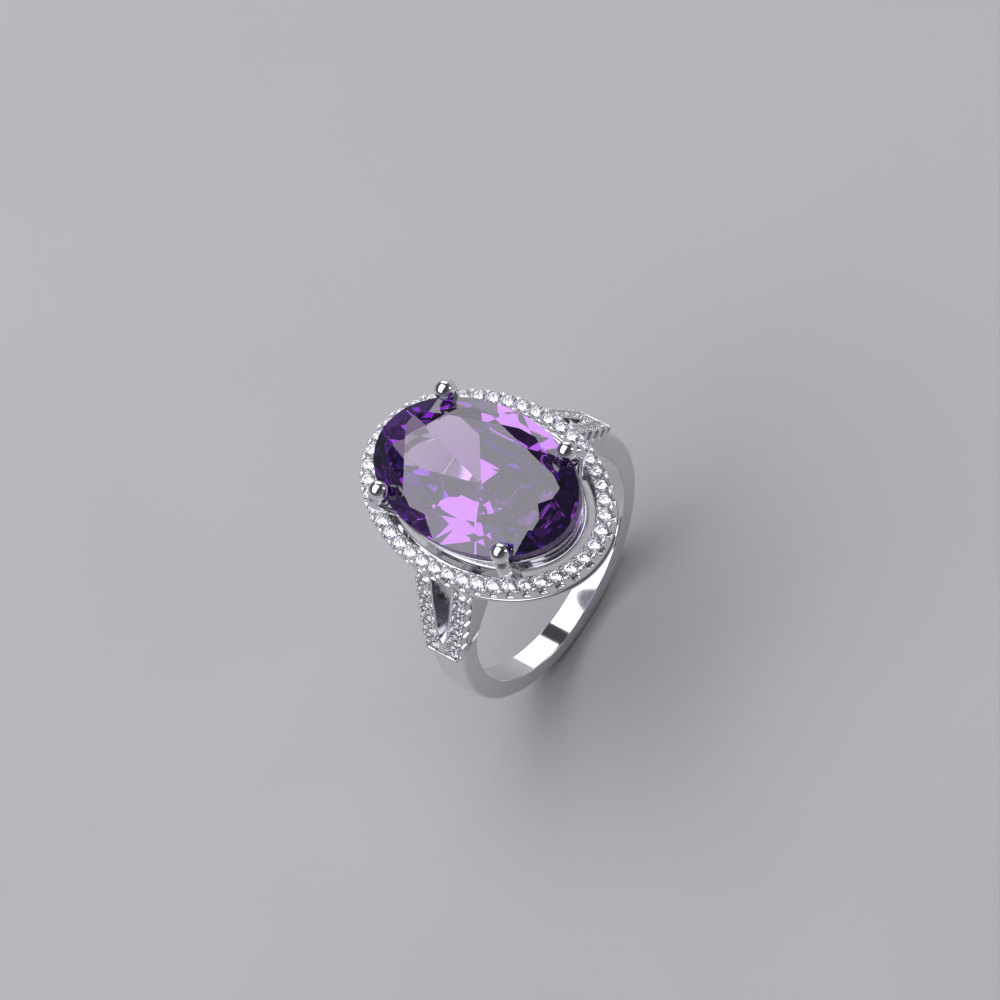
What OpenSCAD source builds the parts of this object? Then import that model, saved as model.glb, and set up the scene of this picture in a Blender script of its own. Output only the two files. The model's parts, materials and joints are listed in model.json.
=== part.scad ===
// Oval-halo cocktail ring with split, stone-set shoulders.
// The origin is the centre of the finger hole. Y runs along the finger and along the large
// stone, Z goes up out through the stone's table, and the shoulders lie to the left and
// right, along X. Millimetres.

/* [Finger hoop] */
// Diameter of the finger hole
finger_d = 17.3; // [16.9:0.1:17.6]
// Metal thickness of the hoop at its lowest point
hoop_base_t = 1.4; // [1.2:0.1:1.7]
// Extra thickness that the hoop gains on its way up to the shoulders
hoop_swell = 0.5; // [0.3:0.05:0.6]
// Width of the hoop at its lowest point
hoop_base_w = 1.9; // [1.6:0.1:2.2]
// Width of the hoop where the shoulders start
hoop_foot_w = 2.8; // [2.6:0.1:3]

/* [Split shoulders] */
// Angle between straight up and the foot of each shoulder
foot_deg = 66; // [65:0.5:67]
// Angle between straight up and the normal of a shoulder's stone-set face
lean_deg = 62; // [61:0.5:63]
// Height of the stone-set faces above the finger hole's wall
shoulder_t = 2.15; // [2.1:0.05:2.25]
// Width across both rails where they go under the halo
shoulder_top_w = 4.9; // [4.6:0.1:5.2]
// Width of the gap between the rails where they go under the halo
split_top_w = 1.9; // [1.6:0.1:2]
// Length of shoulder below the point where the gap starts, measured upwards
split_start = 0.9; // [0.7:0.1:1.2]

/* [Halo] */
// Length of the halo, along the finger
halo_len = 19.6; // [19.4:0.1:19.8]
// Width of the halo, across the finger
halo_w = 14.1; // [13.9:0.1:14.3]
// Width of the halo's rim
rim_w = 1.2; // [1.15:0.05:1.25]
// Height of the halo's upper face above the centre of the finger hole
halo_top = 12.2; // [12.1:0.1:12.4]
// Thickness of the halo plate
plate_t = 0.95; // [0.85:0.05:1]
// Distance from the halo plate down to the underside of the gallery rail
gallery_drop = 0.9; // [0.8:0.05:1]
// Thickness of the gallery rail
gallery_wire = 0.4; // [0.35:0.05:0.45]
// Number of arches in each half of the gallery
arches = 6; // [4:1:8]

/* [Small stones] */
// Number of stones in the halo
halo_count = 44; // [40:2:44]
// Number of stones in each shoulder rail
rail_count = 6; // [4:1:6]
// Diameter of a small stone
melee_d = 1.05; // [0.95:0.05:1.05]
// Distance between neighbouring stones on a rail
rail_pitch = 1.13; // [1.1:0.01:1.15]
// Diameter of the grains that hold the small stones
grain_d = 0.26; // [0.2:0.02:0.26]

/* [Centre stone and head] */
// Length of the large oval stone
gem_len = 16; // [15.8:0.1:16.2]
// Width of the large oval stone
gem_w = 10.6; // [10.4:0.1:10.8]
// Height of the middle of the stone's girdle above the centre of the finger hole
gem_z = 14.2; // [14.1:0.1:14.3]
// Thickness of the stone's ground girdle
girdle_t = 0.8; // [0.7:0.05:0.85]
// Height of the crown, from the girdle up to the table
crown_h = 0.95; // [0.85:0.05:1]
// Depth of the pavilion, from the girdle down to the culet
pavilion_h = 4; // [3.8:0.1:4.1]
// Length of the table as a share of the stone's length
table_share = 0.72; // [0.66:0.01:0.74]
// Diameter of a claw's round tip
claw_tip_d = 1.4; // [1.24:0.02:1.4]
// Diameter of a claw's post
claw_d = 0.98; // [0.9:0.02:0.98]
// Angle of the claws round the oval, from the wide side towards the long end
claw_deg = 40; // [38:1:42]

/* [Hidden] */
$fn = 48;

silver = [0.83, 0.83, 0.85];
white_stone = [0.93, 0.95, 0.98];
amethyst = [0.42, 0.16, 0.62];

fit = 0.02;                 // clearance between a small stone and its seat
far = 30;                   // longer than anything in the ring
spare = 1;                  // extra length that a cut or an overlap takes away again

finger_r = finger_d / 2;
hoop_r = finger_r + hoop_base_t + hoop_swell / 2;
hoop_lift = hoop_swell / 2; // the outer circle sits higher than the hole, so the hoop swells upwards

rail_r = finger_r + shoulder_t;
foot_r = rail_r / cos(foot_deg - lean_deg);
foot_z = foot_r * cos(foot_deg);
split_z = foot_z + split_start;
plate_z = halo_top - plate_t;

halo_a = (halo_len - rim_w) / 2;   // half length of the rim's middle line
halo_b = (halo_w - rim_w) / 2;     // half width of the rim's middle line
oval_steps = 96;

gem_a = gem_len / 2;
gem_b = gem_w / 2;

bearer_h = 0.8;
bearer_w = 0.8;
bearer_top = 9.55;
bearer_a = gem_a - 2;              // half length of its outer wall
bearer_b = gem_b - 1.6;            // half width of its outer wall

collet_t = 0.38;
band_drop = 2.7;                   // from the girdle's middle down to the band's lower edge
band_gap = 0.35;                   // between the band's upper edge and the girdle
band_inset = 0.12;                 // how far the band's lower edge lies inside the stone's outline
band_low = gem_z - band_drop;
band_high = gem_z - girdle_t / 2 - band_gap;

// ---- Ovals ---------------------------------------------------------------

// The point at angle t on an oval of half length a (along Y) and half width b (along X).
function oval_point(a, b, t) = [b * cos(t), a * sin(t)];

// The unit normal there, pointing outwards.
function oval_normal(a, b, t) =
    let (n = [cos(t) / b, sin(t) / a]) n / norm(n);

// The point that lies off beyond the oval, measured square to it.
function oval_beyond(a, b, off, t) = oval_point(a, b, t) + off * oval_normal(a, b, t);

function oval_outline(a, b, off = 0) =
    [for (i = [0:oval_steps - 1]) oval_beyond(a, b, off, i * 360 / oval_steps)];

// Pairs of [distance along the oval, angle], one for each degree.
function oval_lengths(a, b) =
    [for (t = 0, s = 0; t <= 360;
          s = s + norm(oval_point(a, b, t + 1) - oval_point(a, b, t)), t = t + 1) [s, t]];

halo_lengths = oval_lengths(halo_a, halo_b);
halo_round = halo_lengths[360][0];
halo_pitch = halo_round / halo_count;

// The angle of the place that lies k pitches along the halo.
function halo_angle(k) = lookup((k + halo_count) % halo_count * halo_pitch, halo_lengths);

module oval_ring(a, b, width, z1, z2) {
    translate([0, 0, z1])
        linear_extrude(z2 - z1)
            difference() {
                polygon(oval_outline(a, b, width / 2));
                polygon(oval_outline(a, b, -width / 2));
            }
}

// A closed skin over a stack of rings that all have the same number of points.
// With loop, the last ring joins the first; without it, flat ends close the stack.
module skin(rings, loop = false) {
    n = len(rings[0]);
    m = len(rings);
    bands = loop ? m : m - 1;
    walls = [for (j = [0:bands - 1], i = [0:n - 1], half = [0, 1])
        let (
            a = j * n + i,
            b = j * n + (i + 1) % n,
            c = (j + 1) % m * n + i,
            d = (j + 1) % m * n + (i + 1) % n
        ) half == 0 ? [a, c, b] : [b, c, d]];
    ends = loop ? [] : [[for (i = [0:n - 1]) i], [for (i = [n - 1:-1:0]) (m - 1) * n + i]];
    polyhedron([for (r = rings) each r], concat(walls, ends), convexity = 8);
}

function at_height(points, z) = [for (p = points) [p.x, p.y, z]];

// ---- Small stones and their seats ----------------------------------------

melee_pavilion = 0.43 * melee_d;    // depth below the girdle
melee_girdle = 0.03 * melee_d;      // thickness of the girdle
melee_crown = 0.17 * melee_d;       // height of the table above the girdle's lower edge
melee_table_r = 0.29 * melee_d;

// A brilliant-cut stone with its girdle at the origin and its table up.
module melee() {
    rotate_extrude()
        polygon([
            [0, -melee_pavilion],
            [melee_d / 2, 0],
            [melee_d / 2, melee_girdle],
            [melee_table_r, melee_crown],
            [0, melee_crown]
        ]);
}

melee_sink = 0.08;          // depth of the girdle below the metal
seat_hole_d = 0.4;

// The pocket for one stone: a cone for its pavilion and a hole that lets light in.
module seat(depth) {
    r = melee_d / 2 + fit;
    throat = seat_hole_d / 2;
    rotate_extrude()
        polygon([
            [0, -depth],
            [throat, -depth],
            [throat, -melee_pavilion * (1 - throat / r)],
            [r, -fit],
            [r, melee_d],
            [0, melee_d]
        ]);
}

scallop_d = 0.7;
scallop_depth = 0.7;
grain_h = 0.12;
grain_root = 0.3;                   // how deep a grain reaches into the metal

module scallop() {
    translate([0, 0, -scallop_depth])
        cylinder(d = scallop_d, h = scallop_depth + melee_d);
}

module grain() {
    translate([0, 0, -grain_root])
        cylinder(d = grain_d, h = grain_root + grain_h);
}

// ---- Finger hoop ----------------------------------------------------------

// Everything above the two shoulder feet, as a wedge with its point on the hole's axis.
module above_feet() {
    rotate([90, 0, 0])
        linear_extrude(far, center = true)
            polygon([
                [0, 0],
                [far * sin(foot_deg), far * cos(foot_deg)],
                [0, 2 * far],
                [-far * sin(foot_deg), far * cos(foot_deg)]
            ]);
}

module finger_hole() {
    rotate([90, 0, 0])
        cylinder(r = finger_r, h = far, center = true, $fn = 96);
}

module hoop() {
    low = hoop_lift - hoop_r;
    color(silver)
        difference() {
            intersection() {
                translate([0, 0, hoop_lift])
                    rotate([90, 0, 0])
                        cylinder(r = hoop_r, h = hoop_foot_w + spare, center = true, $fn = 96);
                // the hoop's sides, which draw in towards its lowest point
                rotate([90, 0, 90])
                    linear_extrude(far, center = true)
                        polygon([
                            [-hoop_base_w / 2, low],
                            [hoop_base_w / 2, low],
                            [hoop_foot_w / 2, foot_z],
                            [-hoop_foot_w / 2, foot_z]
                        ]);
            }
            finger_hole();
            above_feet();
        }
}

// ---- Split shoulders --------------------------------------------------------

flare_power = 0.6;          // below 1, so the shoulders flare fast at the foot and then slowly

// Half the width across both rails at height z.
function flare(z) =
    let (s = max(0, (z - foot_z) / (plate_z - foot_z)))
    hoop_foot_w / 2 + (shoulder_top_w - hoop_foot_w) / 2 * pow(s, flare_power);

// Half the width of the gap between the rails at height z.
function split(z) =
    let (s = max(0, (z - split_z) / (plate_z - split_z)))
    split_top_w / 2 * sqrt(s);

plan_steps = 10;

// One back rail's outline, seen along X: Y to the right and Z up.
module rail_plan() {
    low = foot_z - spare;
    heights = [for (i = [0:plan_steps]) low + (plate_z - low) * i / plan_steps];
    split_heights = [for (i = [0:plan_steps])
        split_z + (plate_z - split_z) * pow(i / plan_steps, 2)];
    outer = [for (z = heights) [flare(z), z]];
    inner = [for (i = [plan_steps:-1:0]) [split(split_heights[i]), split_heights[i]]];
    polygon(concat(outer, inner, [[0, low]]));
}

rest_drop = 0.3;            // from the bearer's top down to where the rails meet it
rail_lap = 0.25;            // how far the rails keep their full height inside the halo's rim

// The right shoulder seen along Y, before the finger hole is cut. Inside the halo it slopes
// down to the bearer.
module shoulder_side() {
    top_x = (rail_r - plate_z * cos(lean_deg)) / sin(lean_deg);
    inner_r = finger_r - spare;
    polygon([
        [inner_r * sin(foot_deg), inner_r * cos(foot_deg)],
        [foot_r * sin(foot_deg), foot_r * cos(foot_deg)],
        [top_x, plate_z],
        [halo_b - rim_w / 2 - rail_lap, plate_z],
        [bearer_b, bearer_top - rest_drop],
        [spare, bearer_top - rest_drop],
        [spare, inner_r]
    ]);
}

first_stone = 0.62;         // from the shoulder's foot up its face to the first stone
grain_room = 1;             // height under the halo plate that is left without grains
rail_seat_depth = 0.9;
rail_scallop_out = 0.1;     // how far outside the rail a scallop's axis lies

// Height of the middle of stone i above the finger hole's axis.
function rail_stone_z(i) = foot_z + (first_stone + i * rail_pitch) * sin(lean_deg);

// Puts children on the right back rail at height z and at y, facing out of the stone-set face.
module on_rail(z, y, sink = 0) {
    x = (rail_r - z * cos(lean_deg)) / sin(lean_deg);
    translate([x, y, z])
        rotate([0, lean_deg, 0])
            translate([0, 0, -sink])
                children();
}

module rail_blank() {
    difference() {
        intersection() {
            rotate([90, 0, 0])
                linear_extrude(far, center = true)
                    shoulder_side();
            rotate([90, 0, 90])
                linear_extrude(far)
                    rail_plan();
        }
        finger_hole();
        head_envelope();
        inner_gallery_solid();
    }
}

module right_back_rail() {
    color(silver)
        difference() {
            union() {
                rail_blank();
                for (i = [0:rail_count - 1]) {
                    z = rail_stone_z(i + 0.5);
                    if (z < plate_z - grain_room) {
                        on_rail(z, flare(z) - grain_d)
                            grain();
                        on_rail(z, split(z) + grain_d)
                            grain();
                    }
                }
            }
            for (i = [0:rail_count - 1]) {
                z = rail_stone_z(i);
                on_rail(z, (flare(z) + split(z)) / 2, melee_sink)
                    seat(rail_seat_depth);
                on_rail(z, flare(z) + rail_scallop_out)
                    scallop();
            }
        }
}

module right_back_rail_stones() {
    color(white_stone)
        for (i = [0:rail_count - 1]) {
            z = rail_stone_z(i);
            on_rail(z, (flare(z) + split(z)) / 2, melee_sink)
                melee();
        }
}

// ---- Halo -----------------------------------------------------------------

halo_grain_inset = 0.04;    // between a grain and the rim's edge
halo_scallop_out = 0.12;    // how far outside the rim a scallop's axis lies

module halo_plate() {
    color(silver)
        difference() {
            union() {
                oval_ring(halo_a, halo_b, rim_w, plate_z, halo_top);
                for (k = [0:halo_count - 1], side = [-1, 1]) {
                    off = rim_w / 2 - grain_d / 2 - halo_grain_inset;
                    p = oval_beyond(halo_a, halo_b, side * off, halo_angle(k + 0.5));
                    translate([p.x, p.y, halo_top])
                        grain();
                }
            }
            for (k = [0:halo_count - 1]) {
                t = halo_angle(k);
                p = oval_point(halo_a, halo_b, t);
                q = oval_beyond(halo_a, halo_b, rim_w / 2 + halo_scallop_out, t);
                translate([p.x, p.y, halo_top - melee_sink])
                    seat(plate_t + spare);
                translate([q.x, q.y, halo_top])
                    scallop();
            }
        }
}

module halo_stones() {
    color(white_stone)
        for (k = [0:halo_count - 1]) {
            p = oval_point(halo_a, halo_b, halo_angle(k));
            translate([p.x, p.y, halo_top - melee_sink])
                melee();
        }
}

// ---- Gallery under the halo -------------------------------------------------

gallery_inset = 0.1;                                     // from the rim's outer edge
gallery_off = rim_w / 2 - gallery_inset - gallery_wire / 2;
gallery_y = shoulder_top_w / 2;                          // where the rails' outer sides are
gallery_low = plate_z - gallery_drop;

module gallery_rail() {
    color(silver)
        intersection() {
            translate([0, 0, gallery_low])
                linear_extrude(gallery_wire)
                    difference() {
                        polygon(oval_outline(halo_a, halo_b, gallery_off + gallery_wire / 2));
                        polygon(oval_outline(halo_a, halo_b, gallery_off - gallery_wire / 2));
                    }
            translate([-far / 2, gallery_y, 0])
                cube([far, far, far]);
        }
}

arch_wire = 0.26;
arch_sides = 6;
arch_rings = 84;

// A thin wire that swings between the halo plate and the gallery rail.
module gallery_arches() {
    start = asin((gallery_y + arch_wire) / (halo_a + gallery_off));
    low = gallery_low + gallery_wire + arch_wire / 2;
    high = plate_z - arch_wire / 2;
    rings = [for (j = [0:arch_rings])
        let (
            t = start + (180 - 2 * start) * j / arch_rings,
            p = oval_beyond(halo_a, halo_b, gallery_off, t),
            n = oval_normal(halo_a, halo_b, t),
            z = (low + high) / 2 + (high - low) / 2 * cos(360 * arches * j / arch_rings)
        )
        [for (i = [0:arch_sides - 1])
            let (s = (i + 0.5) * 360 / arch_sides, r = arch_wire / 2)
            [p.x + n.x * r * cos(s), p.y + n.y * r * cos(s), z + r * sin(s)]]];
    color(silver)
        skin(rings);
}

inner_gallery_w = 0.55;
inner_gallery_h = 0.4;
inner_gallery_lap = 0.1;    // how far it reaches under the halo plate

// The oval bar under the halo plate's inner edge.
module inner_gallery_solid() {
    off = inner_gallery_lap - rim_w / 2;
    translate([0, 0, plate_z - inner_gallery_h])
        linear_extrude(inner_gallery_h)
            difference() {
                polygon(oval_outline(halo_a, halo_b, off));
                polygon(oval_outline(halo_a, halo_b, off - inner_gallery_w));
            }
}

module inner_gallery() {
    color(silver)
        inner_gallery_solid();
}

// ---- Head: bearer, collet, claws and bridges -----------------------------------

// The collet's outer wall at height z: a cone, then an upright band that ends flush with the stone.
function collet_inset(z) = band_inset * max(0, (band_high - z) / (band_high - band_low));
function collet_up(z) = min(1, (z - bearer_top) / (band_low - bearer_top));
function collet_a(z) =
    z < band_low ? bearer_a + (gem_a - band_inset - bearer_a) * collet_up(z)
                  : gem_a - collet_inset(z);
function collet_b(z) =
    z < band_low ? bearer_b + (gem_b - band_inset - bearer_b) * collet_up(z)
                  : gem_b - collet_inset(z);

function collet_outline(z, off = 0) = at_height(oval_outline(collet_a(z), collet_b(z), off), z);

// The space inside the collet's outer wall, and below it inside the bearer's.
module head_envelope() {
    skin([for (z = [bearer_top, band_low, band_high]) collet_outline(z)]);
    translate([0, 0, bearer_top - far])
        linear_extrude(far)
            polygon(oval_outline(bearer_a, bearer_b));
}

module collet() {
    levels = [bearer_top, band_low, band_high];
    color(silver)
        skin([
            for (z = levels) collet_outline(z),
            for (i = [len(levels) - 1:-1:0]) collet_outline(levels[i], -collet_t)
        ], loop = true);
}

module base_bearer() {
    color(silver)
        translate([0, 0, bearer_top - bearer_h])
            linear_extrude(bearer_h)
                difference() {
                    polygon(oval_outline(bearer_a, bearer_b));
                    polygon(oval_outline(bearer_a, bearer_b, -bearer_w));
                }
}

// A round rod from p to q.
module rod(p, q, d) {
    v = q - p;
    translate(p)
        rotate([0, acos(v.z / norm(v)), atan2(v.y, v.x)])
            cylinder(d = d, h = norm(v));
}

// The place that lies off beyond the girdle, level with a claw, at height z.
function claw_place(off, z) =
    let (p = oval_beyond(gem_a, gem_b, off, claw_deg)) [p.x, p.y, z];

claw_gap = 0.23;            // between the girdle and a claw's post
claw_bite = 0.43;           // how far a claw's foot is let into the collet's wall
knee_up = 0.15;             // from the girdle's middle up to the knee
tip_up = 1.2;               // from the girdle's middle up to the round tip
tip_out = 0.1;              // how far the tip's middle lies outside the girdle
claw_below = 0.1;           // how far a claw's foot reaches below the halo plate
knee_share = 1.08;          // the knee's and the neck's diameters, as shares of the post's
neck_share = 0.9;
claw_knee = claw_place(claw_d / 2 + claw_gap, gem_z + knee_up);
claw_tip = claw_place(tip_out, gem_z + tip_up);
claw_foot_z = plate_z - claw_below;
claw_foot =
    let (p = oval_beyond(collet_a(claw_foot_z), collet_b(claw_foot_z),
                         claw_d / 2 - claw_bite, claw_deg))
    [p.x, p.y, claw_foot_z];

module claw_solid() {
    rod(claw_foot, claw_knee, claw_d);
    rod(claw_knee, claw_tip, neck_share * claw_d);
    translate(claw_knee)
        sphere(d = knee_share * claw_d);
    translate(claw_tip)
        sphere(d = claw_tip_d);
}

module right_back_claw() {
    color(silver)
        difference() {
            claw_solid();
            head_envelope();
        }
}

bridge_d = 0.5;
bridge_from = -0.5;         // its ends' places beyond the girdle, before both are cut to fit
bridge_to = 1.5;

// A short bar from a claw's post to the inside of the halo plate.
module right_back_bridge() {
    z = plate_z + bridge_d / 2;
    difference() {
        intersection() {
            rod(claw_place(bridge_from, z), claw_place(bridge_to, z), bridge_d);
            linear_extrude(far)
                polygon(oval_outline(halo_a, halo_b, -rim_w / 2));
        }
        claw_solid();
        head_envelope();
    }
}

// Repeats a right back piece at the ring's other three corners.
module mirrored(left, front) {
    mirror([left ? 1 : 0, 0, 0])
        mirror([0, front ? 1 : 0, 0])
            children();
}

module halo_bridges() {
    color(silver)
        for (left = [false, true], front = [false, true])
            mirrored(left, front)
                right_back_bridge();
}

// ---- Centre stone ----------------------------------------------------------------

gem_sides = 16;
culet_share = 0.01;         // sizes of the culet and of the pavilion's waist, as shares of the girdle's
waist_share_a = 0.66;
waist_share_b = 0.6;
waist_depth = 0.44;         // depth of the waist, as a share of the pavilion's depth

// A ring of gem_sides points on an oval that is share of the girdle's size.
function gem_ring(share_a, share_b, z, turn) =
    [for (i = [0:gem_sides - 1])
        let (p = oval_point(gem_a * share_a, gem_b * share_b, (i + turn) * 360 / gem_sides))
        [p.x, p.y, z]];

module centre_stone() {
    z1 = gem_z + girdle_t / 2;
    z2 = gem_z - girdle_t / 2;
    color(amethyst)
        hull() {
            skin([
                gem_ring(culet_share, culet_share, z2 - pavilion_h, 0),
                gem_ring(waist_share_a, waist_share_b, z2 - waist_depth * pavilion_h, 0.5),
                gem_ring(1, 1, z2, 0),
                gem_ring(1, 1, z1, 0),
                gem_ring(table_share, table_share - 0.01, z1 + crown_h, 0.5)
            ]);
        }
}

// ---- The ring -----------------------------------------------------------------------

hoop();
mirrored(true, true) right_back_rail();  // rail_left_front
mirrored(true, false) right_back_rail();  // rail_left_back
mirrored(false, true) right_back_rail();  // rail_right_front
mirrored(false, false) right_back_rail();  // rail_right_back
mirrored(true, true) right_back_rail_stones();  // rail_stones_left_front
mirrored(true, false) right_back_rail_stones();  // rail_stones_left_back
mirrored(false, true) right_back_rail_stones();  // rail_stones_right_front
mirrored(false, false) right_back_rail_stones();  // rail_stones_right_back
halo_plate();
halo_stones();
mirrored(false, true) gallery_rail();  // gallery_rail_front
gallery_rail();  // gallery_rail_back
mirrored(false, true) gallery_arches();  // gallery_arches_front
gallery_arches();  // gallery_arches_back
inner_gallery();
base_bearer();
collet();
mirrored(true, true) right_back_claw();  // claw_left_front
mirrored(true, false) right_back_claw();  // claw_left_back
mirrored(false, true) right_back_claw();  // claw_right_front
mirrored(false, false) right_back_claw();  // claw_right_back
halo_bridges();
centre_stone();
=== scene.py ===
import json
import math
from itertools import combinations

import bmesh
import bpy
import numpy as np
from mathutils import Matrix, Vector


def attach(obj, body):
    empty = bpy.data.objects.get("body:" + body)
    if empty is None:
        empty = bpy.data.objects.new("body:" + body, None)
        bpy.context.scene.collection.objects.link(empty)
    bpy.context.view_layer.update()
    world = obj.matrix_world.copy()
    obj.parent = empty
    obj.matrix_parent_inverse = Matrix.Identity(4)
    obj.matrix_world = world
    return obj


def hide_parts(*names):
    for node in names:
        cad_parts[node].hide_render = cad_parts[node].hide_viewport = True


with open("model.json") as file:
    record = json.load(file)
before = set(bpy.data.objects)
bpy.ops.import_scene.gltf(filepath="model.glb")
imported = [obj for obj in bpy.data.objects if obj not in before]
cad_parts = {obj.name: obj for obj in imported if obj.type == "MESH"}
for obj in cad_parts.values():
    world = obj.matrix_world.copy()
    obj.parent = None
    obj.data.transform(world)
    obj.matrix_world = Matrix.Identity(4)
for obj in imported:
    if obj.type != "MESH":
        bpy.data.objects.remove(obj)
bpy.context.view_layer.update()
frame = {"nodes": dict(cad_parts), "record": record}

MM = 0.001
TAU = 2 * math.pi


# ---- Places and sizes, read from the frame, in millimetres -----------------------

def points_of(node):
    """Every corner of a CAD node's mesh."""
    mesh = frame["nodes"][node].data
    points = np.empty(len(mesh.vertices) * 3, np.float32)
    mesh.vertices.foreach_get("co", points)
    return points.reshape(-1, 3).astype(float) / MM


SAME_POINT = 1e-3      # corners that lie this close together count as one


def solids_of(node):
    """The corners of each separate solid in a CAD node."""
    bm = bmesh.new()
    bm.from_mesh(frame["nodes"][node].data)
    bmesh.ops.remove_doubles(bm, verts=bm.verts, dist=SAME_POINT * MM)
    seen, solids = set(), []
    for start in bm.verts:
        if start in seen:
            continue
        seen.add(start)
        group, todo = [], [start]
        while todo:
            vert = todo.pop()
            group.append(vert.co / MM)
            for edge in vert.link_edges:
                other = edge.other_vert(vert)
                if other not in seen:
                    seen.add(other)
                    todo.append(other)
        solids.append(np.array(group))
    bm.free()
    return solids


def unit(v):
    v = np.asarray(v, float)
    return v / np.linalg.norm(v)


FINGER_R = {m["name"]: m for m in frame["record"]["mounts"]}["finger_bore"]["dims"]["r_mm"]

NEAR_BASE = 0.05       # height above the hoop's lowest point within which its base width is read

HOOP = points_of("hoop")
HOOP_R = HOOP[:, 0].max()
HOOP_LOW = HOOP[:, 2].min()
HOOP_LIFT = HOOP_LOW + HOOP_R
HOOP_TOP = HOOP[:, 2].max()
HOOP_FOOT_W = 2 * HOOP[:, 1].max()
HOOP_BASE_W = 2 * HOOP[HOOP[:, 2] < HOOP_LOW + NEAR_BASE, 1].max()
FOOT_ANGLE = np.arctan2(abs(HOOP[:, 0]), HOOP[:, 2]).min()

CORNERS = [(side, end) for side in ("left", "right") for end in ("front", "back")]


# ---- Ovals: half length a along Y, half width b along X -------------------------------

def oval(a, b, t, off=0.0):
    """Points beyond the oval by off, measured square to it, at the angles t."""
    t = np.asarray(t, float)
    x, y = np.cos(t) / b, np.sin(t) / a
    size = np.hypot(x, y)
    return np.stack([b * np.cos(t) + off * x / size, a * np.sin(t) + off * y / size], -1)


def oval_normal(a, b, t):
    return unit([math.cos(t) / b, math.sin(t) / a])


def sizes_at(points, z, reach=0.02, near=0.3):
    """Outer half length and half width of an oval band at height z, and the wall's thickness.

    Reach is how far from z a corner may lie, and near how far from the widest place.
    """
    level = points[abs(points[:, 2] - z) < reach]
    near_x = level[abs(level[:, 1]) < near]
    outer_b = abs(near_x[:, 0]).max()
    return abs(level[:, 1]).max(), outer_b, outer_b - abs(near_x[:, 0]).min()


# ---- Mesh helpers: everything is modelled in millimetres and stored in metres ---------

def skin(rings, loop=False):
    """A closed surface over rings of points. With loop, the last ring joins the first."""
    bm = bmesh.new()
    grid = [[bm.verts.new(p) for p in ring] for ring in rings]
    count = len(grid[0])
    for j in range(len(grid) if loop else len(grid) - 1):
        this, other = grid[j], grid[(j + 1) % len(grid)]
        for i in range(count):
            k = (i + 1) % count
            bm.faces.new((this[i], this[k], other[k], other[i]))
    if not loop:
        bm.faces.new(grid[0])
        bm.faces.new(grid[-1][::-1])
    return bm


def rounded(corners, radii, steps=6, hold=0.03):
    """A closed outline with its corners rounded and a short straight lead at each one."""
    corners = [np.array(c, float) for c in corners]
    outline = []
    for i, radius in enumerate(radii):
        corner = corners[i]
        back = unit(corners[i - 1] - corner)
        ahead = unit(corners[(i + 1) % len(corners)] - corner)
        half = math.acos(max(-1.0, min(1.0, back @ ahead))) / 2
        reach = radius / math.tan(half)
        centre = corner + unit(back + ahead) * radius / math.sin(half)
        outline.append(corner + back * (reach + hold))
        first = corner + back * reach - centre
        last = corner + ahead * reach - centre
        sweep = math.pi - 2 * half
        for s in np.linspace(0, 1, steps + 1):
            way = math.sin((1 - s) * sweep) * first + math.sin(s * sweep) * last
            outline.append(centre + unit(way) * radius)
        outline.append(corner + ahead * (reach + hold))
    return outline


ODD_WAY = (0.31, 0.23, 0.92)   # a direction that none of the bars runs along


def tube(path, radii, sides=20):
    """A round bar through the path's points, with a radius at each."""
    path = np.array(path, float)
    ahead = np.gradient(path, axis=0)
    across = unit(np.cross(ahead[0], ODD_WAY))
    rings = []
    for point, way, radius in zip(path, ahead, radii):
        way = unit(way)
        across = unit(across - way * (across @ way))
        third = np.cross(way, across)
        turns = np.linspace(0, TAU, sides, endpoint=False)
        rings.append([point + radius * (math.cos(s) * across + math.sin(s) * third) for s in turns])
    return skin(rings)


def smooth_path(points, steps):
    """A curve through the points (Catmull-Rom)."""
    points = np.array(points, float)
    ends = [2 * points[0] - points[1], *points, 2 * points[-1] - points[-2]]
    path = []
    for i in range(1, len(ends) - 2):
        p, q, r, s = ends[i - 1 : i + 3]
        for u in np.linspace(0, 1, steps, endpoint=False):
            path.append(0.5 * (2 * q + (r - p) * u + (2 * p - 5 * q + 4 * r - s) * u ** 2
                               + (3 * q - p - 3 * r + s) * u ** 3))
    path.append(points[-1])
    return np.array(path)


def ball_template(detail):
    """The (corners, faces) shape of a ball of radius 1."""
    bm = bmesh.new()
    bmesh.ops.create_icosphere(bm, subdivisions=detail, radius=1)
    bm.verts.index_update()
    template = [v.co.copy() for v in bm.verts], [[v.index for v in f.verts] for f in bm.faces]
    bm.free()
    return template


def add_shape(bm, shape, place):
    """Adds a (corners, faces) shape to the mesh, moved into place."""
    corners, faces = shape
    verts = [bm.verts.new(place @ Vector(c)) for c in corners]
    return [bm.faces.new([verts[i] for i in face]) for face in faces]


def merge(bm, other):
    """Moves all of another bmesh into this one."""
    mesh = bpy.data.meshes.new("merged")
    other.to_mesh(mesh)
    other.free()
    bm.from_mesh(mesh)
    bpy.data.meshes.remove(mesh)


def to_mesh(name, bm):
    """Scales a millimetre bmesh to metres and makes it a mesh."""
    bmesh.ops.recalc_face_normals(bm, faces=bm.faces)
    bm.transform(Matrix.Scale(MM, 4))
    mesh = bpy.data.meshes.new(name)
    bm.to_mesh(mesh)
    bm.free()
    return mesh


def new_object(name, mesh, *materials):
    piece = bpy.data.objects.new(name, mesh)
    bpy.context.scene.collection.objects.link(piece)
    for material in materials:
        mesh.materials.append(material)
    return piece


SOFT_EDGE = math.radians(50)


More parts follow.
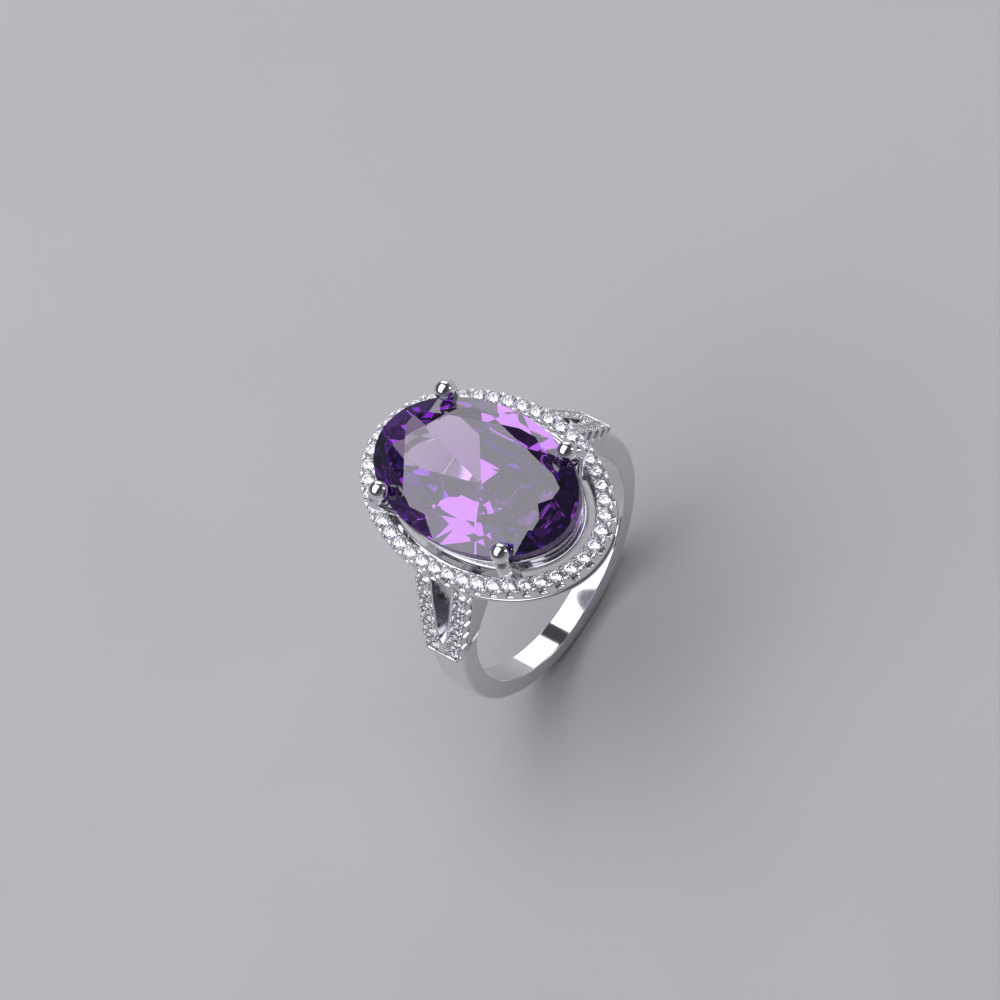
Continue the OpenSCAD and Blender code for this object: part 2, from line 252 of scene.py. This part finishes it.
def metal_piece(name, bm, *nodes):
    """A silver piece that stands for CAD nodes. Only sharp folds keep a hard edge."""
    mesh = to_mesh(name, bm)
    mesh.polygons.foreach_set("use_smooth", [True] * len(mesh.polygons))
    mesh.set_sharp_from_angle(angle=SOFT_EDGE)
    piece = new_object(name, mesh, SILVER)
    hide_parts(*nodes)
    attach(piece, "root")
    return piece


def stone_piece(name, bm, materials, node):
    """A flat-faceted piece that stands for a CAD node."""
    mesh = to_mesh(name, bm)
    mesh.polygons.foreach_set("use_smooth", [False] * len(mesh.polygons))
    piece = new_object(name, mesh, *materials)
    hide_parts(node)
    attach(piece, "root")
    return piece


# ---- Materials -----------------------------------------------------------------------

def material_with(name):
    """A new material, with its nodes, its links and its shader."""
    mat = bpy.data.materials.new(name)
    mat.use_nodes = True
    nodes = mat.node_tree.nodes
    return mat, nodes, mat.node_tree.links, nodes["Principled BSDF"]


def object_noise(nodes, links, scale, detail=3.0, stretch=(1, 1, 1)):
    """Noise in the object's own space. Scale is in features per metre."""
    place = nodes.new("ShaderNodeTexCoord")
    mapping = nodes.new("ShaderNodeMapping")
    mapping.inputs["Scale"].default_value = stretch
    noise = nodes.new("ShaderNodeTexNoise")
    noise.inputs["Scale"].default_value = scale
    noise.inputs["Detail"].default_value = detail
    links.new(place.outputs["Object"], mapping.inputs["Vector"])
    links.new(mapping.outputs[0], noise.inputs["Vector"])
    return noise.outputs["Fac"]


def spread(nodes, links, value, low, high, start=0.35, end=0.65):
    """Maps a noise value between start and end onto low to high."""
    ramp = nodes.new("ShaderNodeMapRange")
    for key, number in (("From Min", start), ("From Max", end), ("To Min", low), ("To Max", high)):
        ramp.inputs[key].default_value = number
    links.new(value, ramp.inputs["Value"])
    return ramp.outputs["Result"]


def blend_of(nodes, links, value, one, two):
    """A colour that runs from one to two as the value rises."""
    mix = nodes.new("ShaderNodeMix")
    mix.data_type = "RGBA"
    mix.inputs["A"].default_value = (*one, 1)
    mix.inputs["B"].default_value = (*two, 1)
    links.new(value, mix.inputs["Factor"])
    return mix.outputs["Result"]


def add_bump(nodes, links, shader, height, strength, depth):
    """Bumps of a depth in millimetres."""
    bump = nodes.new("ShaderNodeBump")
    bump.inputs["Strength"].default_value = strength
    bump.inputs["Distance"].default_value = depth * MM
    links.new(height, bump.inputs["Height"])
    links.new(bump.outputs[0], shader.inputs["Normal"])


def silver_material(name):
    """Rhodium-plated silver: mirror polish with hazy spots and hairline polishing marks."""
    mat, nodes, links, shader = material_with(name)
    shader.inputs["Metallic"].default_value = 1.0
    haze = object_noise(nodes, links, scale=900)
    links.new(blend_of(nodes, links, haze, (0.75, 0.75, 0.77), (0.83, 0.83, 0.845)),
              shader.inputs["Base Color"])
    hairlines = object_noise(nodes, links, scale=2500, detail=4, stretch=(1, 12, 1))
    links.new(spread(nodes, links, hairlines, low=0.03, high=0.11), shader.inputs["Roughness"])
    add_bump(nodes, links, shader, hairlines, strength=0.05, depth=0.004)
    return mat


STONE_IOR = 2.15
GROUND_IOR = 1.6
PURPLE_TINT = (0.6, 0.1, 0.78, 1)
PURPLE_DENSITY = 190   # per metre


def clear_stone_material(name):
    """Clear white stone, with a faint cool tint in places."""
    mat, nodes, links, shader = material_with(name)
    tint = object_noise(nodes, links, scale=1200)
    links.new(blend_of(nodes, links, tint, (0.95, 0.97, 1.0), (1.0, 1.0, 1.0)),
              shader.inputs["Base Color"])
    shader.inputs["Roughness"].default_value = 0.0
    shader.inputs["IOR"].default_value = STONE_IOR
    shader.inputs["Transmission Weight"].default_value = 1.0
    return mat


def add_purple_volume(nodes, links):
    """Colours the light that passes through the stone."""
    absorb = nodes.new("ShaderNodeVolumeAbsorption")
    absorb.inputs["Color"].default_value = PURPLE_TINT
    absorb.inputs["Density"].default_value = PURPLE_DENSITY
    links.new(absorb.outputs[0], nodes["Material Output"].inputs["Volume"])


def purple_stone_material(name):
    """Clear purple stone, with the faint colour zones of the rough."""
    mat, nodes, links, shader = material_with(name)
    zones = object_noise(nodes, links, scale=160, detail=2, stretch=(1, 1, 3))
    links.new(blend_of(nodes, links, zones, (0.96, 0.9, 0.98), (1.0, 0.98, 1.0)),
              shader.inputs["Base Color"])
    shader.inputs["IOR"].default_value = STONE_IOR
    shader.inputs["Transmission Weight"].default_value = 1.0
    shader.inputs["Roughness"].default_value = 0.0
    add_purple_volume(nodes, links)
    return mat


def ground_girdle_material(name):
    """The stone's girdle: purple, ground but not polished, with a sparkling grain."""
    mat, nodes, links, shader = material_with(name)
    grain = object_noise(nodes, links, scale=5000, detail=4)
    links.new(blend_of(nodes, links, grain, (0.1, 0.03, 0.16), (0.5, 0.32, 0.62)),
              shader.inputs["Base Color"])
    shader.inputs["IOR"].default_value = GROUND_IOR
    shader.inputs["Transmission Weight"].default_value = 0.5
    links.new(spread(nodes, links, grain, low=0.2, high=0.5), shader.inputs["Roughness"])
    add_bump(nodes, links, shader, grain, strength=0.8, depth=0.04)
    add_purple_volume(nodes, links)
    return mat


SILVER = silver_material("polished_silver")
CLEAR = clear_stone_material("white_stone")
PURPLE = purple_stone_material("purple_stone")
PURPLE_GROUND = ground_girdle_material("purple_stone_girdle")


# ---- Finger hoop -----------------------------------------------------------------------

HOOP_OVERLAP = math.radians(2.5)   # how far the hoop runs on inside the shoulders
HOOP_STEPS = 220
HIDDEN_SHRINK = 0.04               # keeps those hidden ends under the shoulders' surface
HOOP_DOME = 0.12                   # how far the back's edges lie below its middle
HOOP_CROWN = 0.35                  # width of the back's middle, as a share of the hoop's
HOOP_EDGES = (0.1, 0.1, 0.3, 0.5, 0.5, 0.3)   # radii of the section's corners, two inner ones first


def hoop_ring(angle):
    """The hoop's section at an angle from straight up: a flat inside and a slightly domed back."""
    hidden = angle < FOOT_ANGLE or angle > TAU - FOOT_ANGLE
    shrink = HIDDEN_SHRINK if hidden else 0.0
    aside = HOOP_LIFT * math.sin(angle)
    outer = HOOP_LIFT * math.cos(angle) + math.sqrt(HOOP_R ** 2 - aside ** 2) - shrink
    share = (outer * math.cos(angle) - HOOP_LOW) / (HOOP_TOP - HOOP_LOW)
    half = (HOOP_BASE_W + (HOOP_FOOT_W - HOOP_BASE_W) * min(1.0, share)) / 2 - shrink
    crown, edge = HOOP_CROWN * half, outer - HOOP_DOME
    corners = [(FINGER_R, -half), (FINGER_R, half), (edge, half),
               (outer, crown), (outer, -crown), (edge, -half)]
    outline = rounded(corners, HOOP_EDGES, hold=0.02)
    return [(r * math.sin(angle), y, r * math.cos(angle)) for r, y in outline]


def make_hoop():
    start = FOOT_ANGLE - HOOP_OVERLAP
    angles = np.linspace(start, TAU - start, HOOP_STEPS)
    metal_piece("finger_hoop", skin([hoop_ring(a) for a in angles]), "hoop")


# ---- Small stones -----------------------------------------------------------------------

TRIPLES_AT_ONCE = 20000
TINY = 1e-7            # slack for rounding, on stones of radius 1
ON_PLANE = 1e-5        # a corner this close to a facet's plane belongs to the facet


def cut_gem(planes):
    """The solid inside all the planes, each one (normal, distance).

    Returns its corners, and a loop of corners for each facet.
    """
    normals = np.array([n for n, d in planes])
    reach = np.array([d for n, d in planes])
    corners = []
    triples = np.array(list(combinations(range(len(planes)), 3)))
    for part in np.array_split(triples, max(1, len(triples) // TRIPLES_AT_ONCE)):
        square = normals[part]
        solvable = abs(np.linalg.det(square)) > TINY
        meets = np.linalg.solve(square[solvable], reach[part[solvable]][..., None])[..., 0]
        corners.append(meets[(meets @ normals.T <= reach + TINY).all(1)])
    corners = np.concatenate(corners)
    corners = corners[np.unique(corners.round(5), axis=0, return_index=True)[1]]
    facets = []
    for normal, distance in zip(normals, reach):
        on = np.flatnonzero(abs(corners @ normal - distance) < ON_PLANE)
        if len(on) < 3:
            continue
        middle = corners[on].mean(0)
        side = unit(corners[on[0]] - middle)
        third = np.cross(normal, side)
        turn = np.arctan2((corners[on] - middle) @ third, (corners[on] - middle) @ side)
        facets.append(on[np.argsort(turn)])
    return corners, facets


def slope(azimuth, angle, radius, height, down=False):
    """The plane of a facet that leans by angle and passes through radius and height at its azimuth."""
    lean = math.radians(angle)
    normal = np.array([math.sin(lean) * math.cos(azimuth), math.sin(lean) * math.sin(azimuth),
                       -math.cos(lean) if down else math.cos(lean)])
    point = np.array([radius * math.cos(azimuth), radius * math.sin(azimuth), height])
    return normal, normal @ point


def brilliant(table, girdle, crown, upper, star, pavilion, lower, sides=32):
    """The planes of a round brilliant of radius 1.

    Table is the table's radius and girdle the girdle's thickness. Crown and upper are the angles
    of the crown's main and upper facets, star that of its star facets, and pavilion and lower
    those of the pavilion's main and lower facets. Sides is the girdle's number of sides.
    """
    step = TAU / 8
    edge = math.cos(step / 4)
    high = girdle / 2 + (1 - table) * math.tan(math.radians(crown))
    planes = [(np.array([0.0, 0.0, 1.0]), high)]
    for i in range(sides):
        planes.append(slope(TAU * (i + 0.5) / sides, 90, 1, 0))
    for i in range(8):
        main = i * step
        planes.append(slope(main, crown, 1, girdle / 2))
        planes.append(slope(main + step / 2, star, table * math.cos(step / 2), high))
        planes.append(slope(main, pavilion, 1, -girdle / 2, down=True))
        for quarter in (-step / 4, step / 4):
            planes.append(slope(main + quarter, upper, edge, girdle / 2))
            planes.append(slope(main + quarter, lower, edge, -girdle / 2, down=True))
    return planes


MELEE = cut_gem(brilliant(table=0.56, girdle=0.06, crown=34.5, upper=40.0, star=21,
                          pavilion=40.75, lower=42.2))
FLAT_END = 0.02        # a small stone's end corners lie this close to its tip or its table
ROUND_SHARE = 0.99     # its girdle's corners lie outside this share of its radius


def stone_seats(node):
    """Girdle centre, outward axis and radius of each small stone in a CAD node."""
    seats = []
    for points in solids_of(node):
        middle = (points.max(0) + points.min(0)) / 2
        centred = points - points.mean(0)
        axis = np.linalg.eigh(centred.T @ centred)[1][:, 0]
        heights = centred @ axis
        near_top = (heights > heights.max() - FLAT_END).sum()
        near_bottom = (heights < heights.min() + FLAT_END).sum()
        if near_top < near_bottom:
            axis, heights = -axis, -heights
        spread_out = np.linalg.norm(centred - np.outer(heights, axis), axis=1)
        radius = spread_out.max()
        girdle = points[spread_out > ROUND_SHARE * radius]
        seats.append((girdle.mean(0), axis, radius))
    return seats


GOLDEN_TURN = TAU * 0.381966


def set_stones(name, node, seats):
    """One brilliant in each seat, each turned its own way."""
    bm = bmesh.new()
    for i, (centre, axis, radius) in enumerate(seats):
        lean = Vector((0, 0, 1)).rotation_difference(Vector(axis)).to_matrix().to_4x4()
        turn = Matrix.Rotation(i * GOLDEN_TURN, 4, "Z")
        size = Matrix.Scale(radius, 4)
        add_shape(bm, MELEE, Matrix.Translation(Vector(centre)) @ lean @ turn @ size)
    stone_piece(name, bm, [CLEAR], node)


# ---- Cast, bead-set metal -----------------------------------------------------------------

CAST_OFFSET = Vector((0.0137, 0.0071, 0.0113))   # keeps flat faces off the voxel grid
CAST_VOXEL = 0.045
CAST_SMOOTHING = 3     # passes
CAST_KEEP = 0.5        # share of the faces that stay


def cast(bm):
    """The union of closed millimetre solids, with its edges worn round as after casting and polish."""
    bm.transform(Matrix.Translation(CAST_OFFSET))
    mesh = bpy.data.meshes.new("casting")
    bm.to_mesh(mesh)
    bm.free()
    rough = bpy.data.objects.new("casting", mesh)
    bpy.context.scene.collection.objects.link(rough)
    remesh = rough.modifiers.new("union", "REMESH")
    remesh.mode = "VOXEL"
    remesh.voxel_size = CAST_VOXEL
    soften = rough.modifiers.new("polish", "SMOOTH")
    soften.factor = 0.5
    soften.iterations = CAST_SMOOTHING
    fewer = rough.modifiers.new("fewer", "DECIMATE")
    fewer.ratio = CAST_KEEP
    done = rough.evaluated_get(bpy.context.evaluated_depsgraph_get())
    made = bpy.data.meshes.new_from_object(done)
    bpy.data.objects.remove(rough)
    bpy.data.meshes.remove(mesh)
    out = bmesh.new()
    out.from_mesh(made)
    bpy.data.meshes.remove(made)
    out.transform(Matrix.Translation(-CAST_OFFSET))
    return out


WELD = 1e-4            # corners of a CAD mesh that lie this close are joined


def node_bmesh(*nodes):
    """The CAD nodes' meshes in one bmesh, in millimetres."""
    bm = bmesh.new()
    for node in nodes:
        bm.from_mesh(frame["nodes"][node].data)
    bm.transform(Matrix.Scale(1 / MM, 4))
    bmesh.ops.remove_doubles(bm, verts=bm.verts, dist=WELD)
    return bm


BEAD = ball_template(2)
BEAD_R = 0.135
BEAD_OFF = 0.47        # from the row's middle line
BEAD_ALONG = 0.2       # from the middle of the gap between two stones
BEAD_RISE = 0.1


def gap_beads(bm, middle, axis, along):
    """Two beads on each side of the gap between two stones."""
    across = unit(np.cross(axis, along))
    for off in (-BEAD_OFF, BEAD_OFF):
        for shift in (-BEAD_ALONG, BEAD_ALONG):
            centre = Vector(middle + across * off + along * shift + axis * BEAD_RISE)
            add_shape(bm, BEAD, Matrix.Translation(centre) @ Matrix.Scale(BEAD_R, 4))


def make_halo():
    """The halo's stones, and its plate with beads between them."""
    seats = stone_seats("halo_stones")
    seats.sort(key=lambda s: math.atan2(s[0][1], s[0][0]))
    set_stones("halo_brilliants", "halo_stones", seats)
    bm = cast(node_bmesh("halo_plate"))
    for (here, axis, _), (there, _, _) in zip(seats, seats[1:] + seats[:1]):
        gap_beads(bm, (here + there) / 2, axis, unit(there - here))
    metal_piece("halo_rim", bm, "halo_plate")


def join_at_middle(bm, reach=0.03):
    """Makes the front and back halves overlap a little where they meet at y = 0."""
    for vert in bm.verts:
        if abs(vert.co.y) < SAME_POINT:
            away = sum(f.calc_center_median().y for f in vert.link_faces)
            vert.co.y -= math.copysign(reach, away)


def half_of(bm, sign):
    """The front or back half of a mesh, closed with a flat face at y = 0."""
    part = bm.copy()
    cut = bmesh.ops.bisect_plane(part, geom=[*part.verts, *part.edges, *part.faces],
                                 plane_co=(0, 0, 0), plane_no=(0, -sign, 0), clear_outer=True)
    rim = [e for e in cut["geom_cut"] if isinstance(e, bmesh.types.BMEdge)]
    bmesh.ops.holes_fill(part, edges=rim, sides=0)
    return part


LIP_R = 0.15
LIP_SINK = 0.07        # how far the lip's middle lies inside the foot's edge
LIP_TAPER = ((0, 0.3), (0.02, 0.75), (0.05, 1), (0.5, 1), (0.95, 1), (0.98, 0.75), (1, 0.3))
LIP_SIDES = 16


def add_lip(bm, sign):
    """A raised, rounded lip along the foot of a shoulder."""
    foot = max((v.co.copy() for v in bm.verts), key=lambda p: sign * p.x)
    inside = Vector((foot.x, 0, foot.z)).normalized() * LIP_SINK
    ends = [Vector((foot.x, y, foot.z)) - inside for y in (-HOOP_FOOT_W / 2, HOOP_FOOT_W / 2)]
    path = [ends[0].lerp(ends[1], share) for share, size in LIP_TAPER]
    merge(bm, tube(path, [LIP_R * size for share, size in LIP_TAPER], LIP_SIDES))


def make_shoulder(side):
    """Both rails of a shoulder, cast as one and cut apart again, with their stones and beads."""
    halves = node_bmesh(f"rail_{side}_front", f"rail_{side}_back")
    join_at_middle(halves)
    add_lip(halves, 1 if side == "right" else -1)
    whole = cast(halves)
    for end, sign in (("front", -1), ("back", 1)):
        node = f"rail_stones_{side}_{end}"
        seats = sorted(stone_seats(node), key=lambda s: s[0][2])
        set_stones(f"rail_{side}_{end}_brilliants", node, seats)
        bm = half_of(whole, sign)
        for (here, axis, _), (there, _, _) in zip(seats, seats[1:]):
            gap_beads(bm, (here + there) / 2, axis, unit(there - here))
        metal_piece(f"rail_{side}_{end}_cast", bm, f"rail_{side}_{end}")
    whole.free()


# ---- Oval bands: collet, bearer and inner gallery --------------------------------------------

OVAL_STEPS = 240
CREASE = 0.08          # reach of the soft bend where a band's wall changes its slope


def make_band(name, node, radii):
    """An oval band that follows the CAD band's sizes at each level.

    Radii round its edges: low and high outside, then high and low inside.
    """
    points = points_of(node)
    levels = np.unique(points[:, 2].round(2))
    sizes = np.array([sizes_at(points, z) for z in levels])
    wall = sizes[0, 2]
    low, high = levels[0], levels[-1]
    section = rounded([(0, low), (0, high), (wall, high), (wall, low)], radii)
    if len(levels) > 2:
        bend = [levels[1] - CREASE, levels[1], levels[1] + CREASE]
        side = len(section) // 4
        section[3 * side:3 * side] = [(wall, z) for z in bend[::-1]]
        section[side:side] = [(0, z) for z in bend]
    rings = []
    for t in np.linspace(0, TAU, OVAL_STEPS, endpoint=False):
        ring = []
        for inward, z in section:
            a, b = (np.interp(z, levels, sizes[:, i]) for i in (0, 1))
            x, y = oval(a, b, t, -inward)
            ring.append((x, y, z))
        rings.append(ring)
    metal_piece(name, skin(rings, loop=True), node)


# ---- Gallery under the halo --------------------------------------------------------------------

SEATS_B, SEATS_A = (max(abs(s[0][i]) for s in stone_seats("halo_stones")) for i in (0, 1))
ARCHES = 6             # waves of the arched wire in each half
ARCH_WIRE = 0.26       # its thickness
RAIL_STEPS, RAIL_SIDES = 120, 16
ARCH_STEPS, ARCH_SIDES = 240, 10


def gallery_path(points, thick, steps, sign):
    """Points in plan along the front or back half of a gallery wire."""
    off = abs(points[:, 1]).max() - thick / 2 - SEATS_A
    start = math.asin(min(1.0, abs(points[:, 1]).min() / (SEATS_A + off)))
    return oval(SEATS_A, SEATS_B, np.linspace(start, math.pi - start, steps), off) * (1, sign)


def make_gallery_rail(end, sign):
    node = f"gallery_rail_{end}"
    points = points_of(node)
    low, high = points[:, 2].min(), points[:, 2].max()
    thick = high - low
    flat = gallery_path(points, thick, RAIL_STEPS, sign)
    path = [(x, y, (low + high) / 2) for x, y in flat]
    metal_piece(f"{node}_wire", tube(path, [thick / 2] * len(path), RAIL_SIDES), node)


def make_gallery_arches(end, sign):
    node = f"gallery_arches_{end}"
    points = points_of(node)
    low, high = points[:, 2].min(), points[:, 2].max()
    flat = gallery_path(points, ARCH_WIRE, ARCH_STEPS, sign)
    swing = np.cos(np.linspace(0, TAU * ARCHES, len(flat)))
    middle, reach = (low + high) / 2, (high - low - ARCH_WIRE) / 2
    path = [(x, y, middle + reach * s) for (x, y), s in zip(flat, swing)]
    metal_piece(f"{node}_wire", tube(path, [ARCH_WIRE / 2] * len(path), ARCH_SIDES), node)


# ---- Claws and bridges ------------------------------------------------------------------------

CLAW_BALL_R = 0.7
CLAW_NECK_R = 0.5
CLAW_POST_R = 0.52
CLAW_FOOT_R = 0.38
CLAW_LEAST_R = 0.01
SWELL_END = 0.55       # where the post is thickest, as a share of the claw's length
SWELL_POWER = 0.7      # below 1, so it swells fast at the foot and then slowly
NECK_START = 0.6       # where it starts to draw in again
CLAW_SIDES = 40
FOOT_STEPS, POST_STEPS, BALL_STEPS, CURVE_STEPS = 10, 20, 32, 16


def claw_radius(s, length):
    """Radius of a claw at distance s from its foot: round foot, swelling post, neck and ball."""
    centre = length - CLAW_BALL_R
    ball = math.sqrt(max(0.0, CLAW_BALL_R ** 2 - (s - centre) ** 2))
    if s > centre:
        return max(ball, CLAW_LEAST_R)
    swell = min(1.0, s / (SWELL_END * length)) ** SWELL_POWER
    neck = max(0.0, (s / length - NECK_START) / (1 - NECK_START))
    post = (CLAW_FOOT_R + (CLAW_POST_R - CLAW_FOOT_R) * swell
            - (CLAW_POST_R - CLAW_NECK_R) * neck)
    if s < CLAW_FOOT_R:
        foot = CLAW_FOOT_R ** 2 - (CLAW_FOOT_R - s) ** 2
        post = min(post, math.sqrt(max(CLAW_LEAST_R ** 2, foot)))
    return max(post, ball)


CAP_REACH = 0.05       # heights within which the ball's top, the knee and the foot are read
KNEE_REACH = 0.2
FOOT_REACH = 0.35
KNEE_DROP = 1.5 * CLAW_BALL_R   # from the ball's middle down to the knee


def claw_stations(length):
    """Distances along a claw, closer together on its round foot and on its ball."""
    quarter = np.linspace(0, math.pi / 2, FOOT_STEPS, endpoint=False)
    half = np.linspace(0, math.pi, BALL_STEPS)
    return np.concatenate([
        CLAW_FOOT_R * (1 - np.cos(quarter)),
        np.linspace(CLAW_FOOT_R, length - 2 * CLAW_BALL_R, POST_STEPS, endpoint=False),
        length - CLAW_BALL_R - CLAW_BALL_R * np.cos(half),
    ])


def make_claw(side, end):
    """A claw that runs from the CAD claw's foot through its knee to its ball."""
    node = f"claw_{side}_{end}"
    points = points_of(node)
    low, high = points[:, 2].min(), points[:, 2].max()
    ball = points[points[:, 2] > high - CAP_REACH].mean(0)
    ball[2] = high - CLAW_BALL_R
    level = points[abs(points[:, 2] - (ball[2] - KNEE_DROP)) < KNEE_REACH]
    knee = (level.min(0) + level.max(0)) / 2
    angle = math.atan2(ball[1] / SEATS_A, ball[0] / SEATS_B)
    outward = unit([*oval_normal(SEATS_A, SEATS_B, angle), 0])
    foot_points = points[points[:, 2] < low + FOOT_REACH]
    foot = foot_points[np.argmax(foot_points @ outward)] - outward * CLAW_POST_R
    foot[2] = low
    tip = ball + unit(ball - knee) * CLAW_BALL_R
    path = smooth_path([foot, (foot + knee) / 2, knee, (knee + ball) / 2, ball, tip], CURVE_STEPS)
    lengths = np.concatenate([[0], np.cumsum(np.linalg.norm(np.diff(path, axis=0), axis=1))])
    stations = claw_stations(lengths[-1])
    path = np.stack([np.interp(stations, lengths, path[:, i]) for i in range(3)], -1)
    radii = [claw_radius(s, lengths[-1]) for s in stations]
    metal_piece(f"{node}_polished", tube(path, radii, CLAW_SIDES), node)


BRIDGE_WAIST_R = 0.17
BRIDGE_END_R = 0.27
BRIDGE_SINK = 0.08     # how far each end runs on into the claw or the halo
BRIDGE_STEPS = 17


def make_bridges():
    """Four short bars with flared, soldered ends."""
    bars = bmesh.new()
    for points in solids_of("halo_bridges"):
        middle = (points.max(0) + points.min(0)) / 2
        centred = points - points.mean(0)
        axis = np.linalg.eigh(centred.T @ centred)[1][:, 2]
        reach = (centred @ axis).max() + BRIDGE_SINK
        shares = np.linspace(-1, 1, BRIDGE_STEPS)
        path = [middle + axis * reach * s for s in shares]
        radii = [BRIDGE_WAIST_R + (BRIDGE_END_R - BRIDGE_WAIST_R) * abs(s) ** 3 for s in shares]
        merge(bars, tube(path, radii))
    metal_piece("halo_bridge_bars", bars, "halo_bridges")


# ---- Centre stone --------------------------------------------------------------------------------

UPPER_STEEPER = 4.5    # degrees by which the upper facets are steeper than the crown's main ones
LOWER_STEEPER = 3.2    # the same for the pavilion's lower facets
STAR_SHARE = 0.62      # the star facets' angle, as a share of the crown's
GIRDLE_SIDES = 64
EDGE_REACH = 0.01      # how close to the table or the girdle a corner counts as on it
UPRIGHT = 0.01         # a facet whose normal rises less than this belongs to the girdle


def make_centre_stone():
    """An oval brilliant with a broad ground girdle: a round one, stretched to the CAD stone."""
    points = points_of("centre_stone")
    high, low = points[:, 2].max(), points[:, 2].min()
    b, a = abs(points[:, 0]).max(), abs(points[:, 1]).max()
    table = abs(points[points[:, 2] > high - EDGE_REACH, 1]).max() / a
    rim = points[abs(points[:, 1]) > a - EDGE_REACH, 2]
    crown = math.degrees(math.atan((high - rim.max()) / b / (1 - table)))
    pavilion = math.degrees(math.atan((rim.min() - low) / b))
    planes = brilliant(table, (rim.max() - rim.min()) / b, crown, crown + UPPER_STEEPER,
                       STAR_SHARE * crown, pavilion, pavilion + LOWER_STEEPER, GIRDLE_SIDES)
    bm = bmesh.new()
    place = Matrix.Translation((0, 0, (rim.max() + rim.min()) / 2)) @ Matrix.Diagonal((b, a, b, 1))
    for facet in add_shape(bm, cut_gem(planes), place):
        facet.normal_update()
        facet.material_index = int(abs(facet.normal.z) < UPRIGHT)
    stone_piece("purple_oval_stone", bm, [PURPLE, PURPLE_GROUND], "centre_stone")


# ---- Floor, lights and camera -----------------------------------------------------------

FLOOR_HALF = 1500


def pale_floor():
    """A wide floor that the hoop's lowest point rests on."""
    bm = bmesh.new()
    bmesh.ops.create_grid(bm, x_segments=1, y_segments=1, size=FLOOR_HALF)
    bmesh.ops.translate(bm, verts=bm.verts, vec=(0, 0, HOOP_LOW))
    mat, nodes, links, shader = material_with("pale_floor")
    shade = object_noise(nodes, links, scale=30)
    links.new(blend_of(nodes, links, shade, (0.55, 0.545, 0.54), (0.6, 0.595, 0.59)),
              shader.inputs["Base Color"])
    shader.inputs["Roughness"].default_value = 0.75
    new_object("floor", to_mesh("floor", bm), mat)


def softbox(name, place, face, width, depth, radiance, color=(1, 1, 1)):
    """A rectangular light at a place, facing along a direction, all in millimetres."""
    light = bpy.data.lights.new(name, "AREA")
    light.shape = "RECTANGLE"
    light.size = width * MM
    light.size_y = depth * MM
    light.energy = radiance * 4 * light.size * light.size_y
    light.color = color
    lamp = bpy.data.objects.new(name, light)
    bpy.context.scene.collection.objects.link(lamp)
    lamp.location = Vector(place) * MM
    lamp.rotation_euler = (-Vector(face)).to_track_quat("Z", "Y").to_euler()


def studio():
    """A wide ceiling panel, a panel behind, a strip at the right, and a backdrop dark at the top."""
    world = bpy.data.worlds.new("studio")
    bpy.context.scene.world = world
    world.use_nodes = True
    nodes, links = world.node_tree.nodes, world.node_tree.links
    place = nodes.new("ShaderNodeTexCoord")
    parts = nodes.new("ShaderNodeSeparateXYZ")
    links.new(place.outputs["Generated"], parts.inputs[0])
    rise = spread(nodes, links, parts.outputs["Z"], 0, 1, start=0.0, end=0.6)
    links.new(blend_of(nodes, links, rise, (0.18, 0.19, 0.21), (0.06, 0.06, 0.07)),
              nodes["Background"].inputs["Color"])
    softbox("ceiling_panel", (-190, 140, 450), (0, 0, -1), 980, 530, 1.5, (0.94, 0.93, 1.0))
    softbox("back_panel", (520, 280, 190), (-0.85, -0.45, -0.25), 520, 400, 1.1)
    softbox("side_strip", (330, -350, 60), (-0.65, 0.70, -0.1), 90, 200, 3)


VIEW_AZIMUTH, VIEW_ELEVATION, VIEW_ROLL = -24.1, 59.9, 35.7   # degrees
VIEW_DISTANCE = 378.4
AIM_RIGHT, AIM_ABOVE = -2.60, 4.30   # from the finger hole's centre to the picture's
LENS_MM, SENSOR_MM = 195.3, 36
CLIP_NEAR, CLIP_FAR = 0.01, 10    # metres


def camera():
    """A long lens that looks down on the ring. Right and above run along the picture's edges."""
    a, e, roll = (math.radians(v) for v in (VIEW_AZIMUTH, VIEW_ELEVATION, VIEW_ROLL))
    back = Vector((math.sin(a) * math.cos(e), -math.cos(a) * math.cos(e), math.sin(e)))
    level = Vector((math.cos(a), math.sin(a), 0))
    up = back.cross(level)
    right = level * math.cos(roll) - up * math.sin(roll)
    above = back.cross(right)
    centre = right * AIM_RIGHT + above * AIM_ABOVE
    cam = bpy.data.cameras.new("camera")
    cam.lens = LENS_MM
    cam.sensor_width = SENSOR_MM
    cam.clip_start = CLIP_NEAR
    cam.clip_end = CLIP_FAR
    eye = bpy.data.objects.new("camera", cam)
    bpy.context.scene.collection.objects.link(eye)
    turn = Matrix((right, above, back)).transposed().to_4x4()
    eye.matrix_world = Matrix.Translation((centre + back * VIEW_DISTANCE) * MM) @ turn
    bpy.context.scene.camera = eye


# ---- The ring ------------------------------------------------------------------------------

make_hoop()
for side in ("left", "right"):
    make_shoulder(side)
make_halo()
for end, sign in (("front", -1), ("back", 1)):
    make_gallery_rail(end, sign)
    make_gallery_arches(end, sign)
make_band("inner_gallery_band", "inner_gallery", (0.12, 0.15, 0.15, 0.12))
make_band("base_bearer_band", "base_bearer", (0.2, 0.1, 0.1, 0.2))
make_band("collet_band", "collet", (0.08, 0.1, 0.12, 0.08))
for side, end in CORNERS:
    make_claw(side, end)
make_bridges()
make_centre_stone()

pale_floor()
studio()
camera()
STONE_BOUNCES = 24     # enough for light to find its way out of a cut stone
METAL_BOUNCES = 16
bpy.context.scene.cycles.max_bounces = STONE_BOUNCES
bpy.context.scene.cycles.transmission_bounces = STONE_BOUNCES
bpy.context.scene.cycles.glossy_bounces = METAL_BOUNCES
bpy.context.scene.view_settings.view_transform = "Standard"
